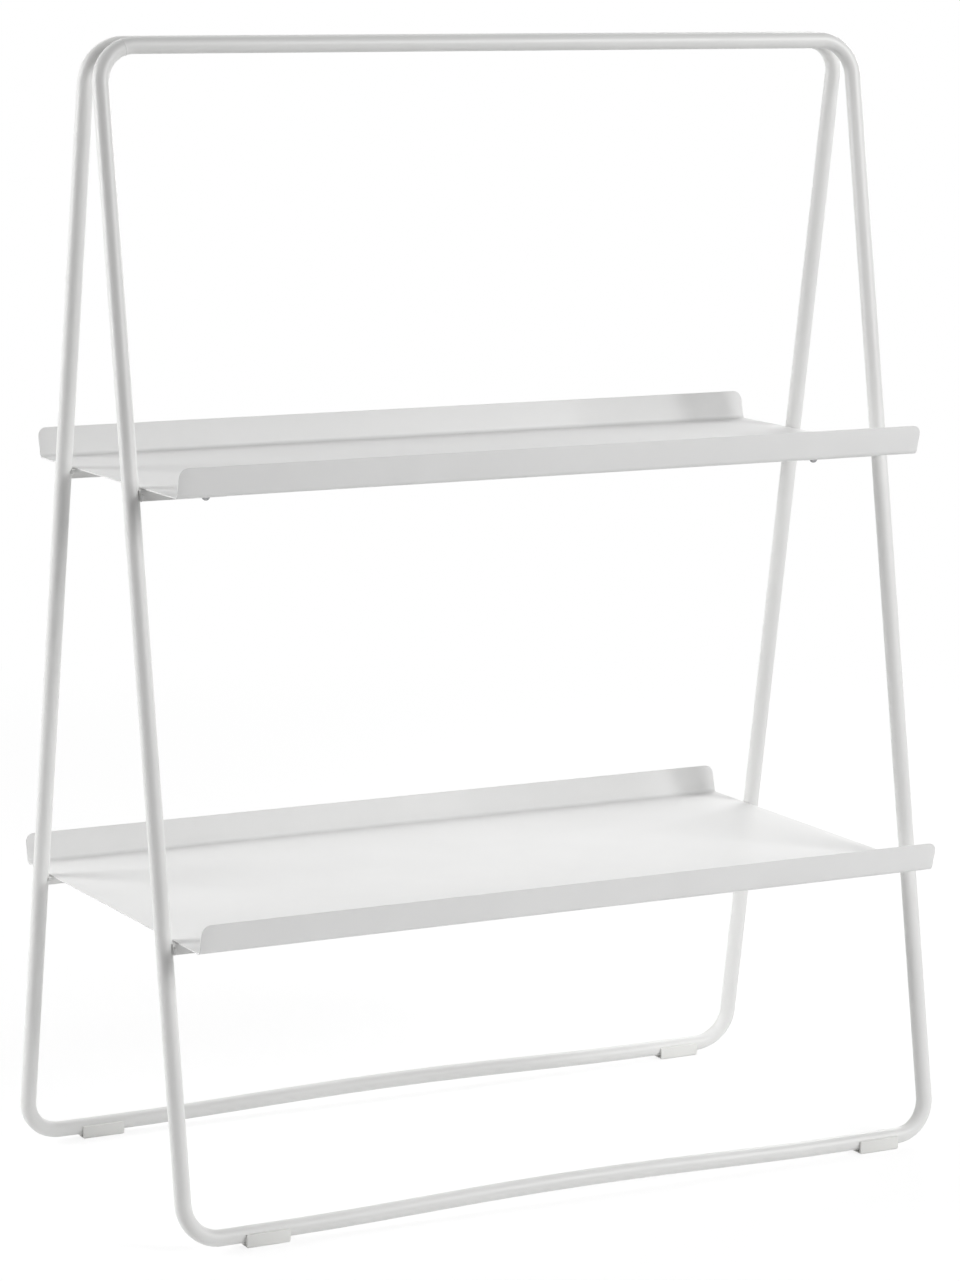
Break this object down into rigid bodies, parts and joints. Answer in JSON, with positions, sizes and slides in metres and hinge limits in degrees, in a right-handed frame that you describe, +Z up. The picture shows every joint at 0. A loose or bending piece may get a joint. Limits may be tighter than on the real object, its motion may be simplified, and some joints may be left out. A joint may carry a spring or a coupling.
{
  "type": "plant ladder stand",
  "caption": "Ladder-shaped plant stand: leaning closed tube loops carry wide sheet-steel trays with flared lips, bolted to welded angle brackets.",
  "frame": {"origin": "on the floor, under the middle of the stand", "axes": "+X along the trays, to the right seen from the front; -Y is the front; +Z up"},
  "size_m": [0.94, 0.492, 1.2499],
  "materials": {
    "frame_paint": "white satin powder coat on round steel tube and angle",
    "tray_paint": "white satin powder coat on folded sheet steel",
    "zinc": "bright zinc plating",
    "glide_plastic": "moulded translucent-white plastic, satin"
  },
  "bodies": {
    "root": {"front_loop": "frame_paint", "rear_loop": "frame_paint", "top_spacer_left": "frame_paint", "top_spacer_right": "frame_paint", "upper_tray": "tray_paint", "lower_tray": "tray_paint", "upper_bracket_front_left": "frame_paint", "upper_bracket_front_right": "frame_paint", "upper_bracket_rear_left": "frame_paint", "upper_bracket_rear_right": "frame_paint", "lower_bracket_front_left": "frame_paint", "lower_bracket_front_right": "frame_paint", "lower_bracket_rear_left": "frame_paint", "lower_bracket_rear_right": "frame_paint", "upper_stud_front_left": "zinc", "upper_stud_front_right": "zinc", "upper_stud_rear_left": "zinc", "upper_stud_rear_right": "zinc", "lower_stud_front_left": "zinc", "lower_stud_front_right": "zinc", "lower_stud_rear_left": "zinc", "lower_stud_rear_right": "zinc", "upper_washer_front_left": "zinc", "upper_washer_front_right": "zinc", "upper_washer_rear_left": "zinc", "upper_washer_rear_right": "zinc", "lower_washer_front_left": "zinc", "lower_washer_front_right": "zinc", "lower_washer_rear_left": "zinc", "lower_washer_rear_right": "zinc", "upper_cap_nut_front_left": "zinc", "upper_cap_nut_front_right": "zinc", "upper_cap_nut_rear_left": "zinc", "upper_cap_nut_rear_right": "zinc", "lower_cap_nut_front_left": "zinc", "lower_cap_nut_front_right": "zinc", "lower_cap_nut_rear_left": "zinc", "lower_cap_nut_rear_right": "zinc", "glide_front_left": "glide_plastic", "glide_front_right": "glide_plastic", "glide_rear_left": "glide_plastic", "glide_rear_right": "glide_plastic"}
  },
  "joints": []
}
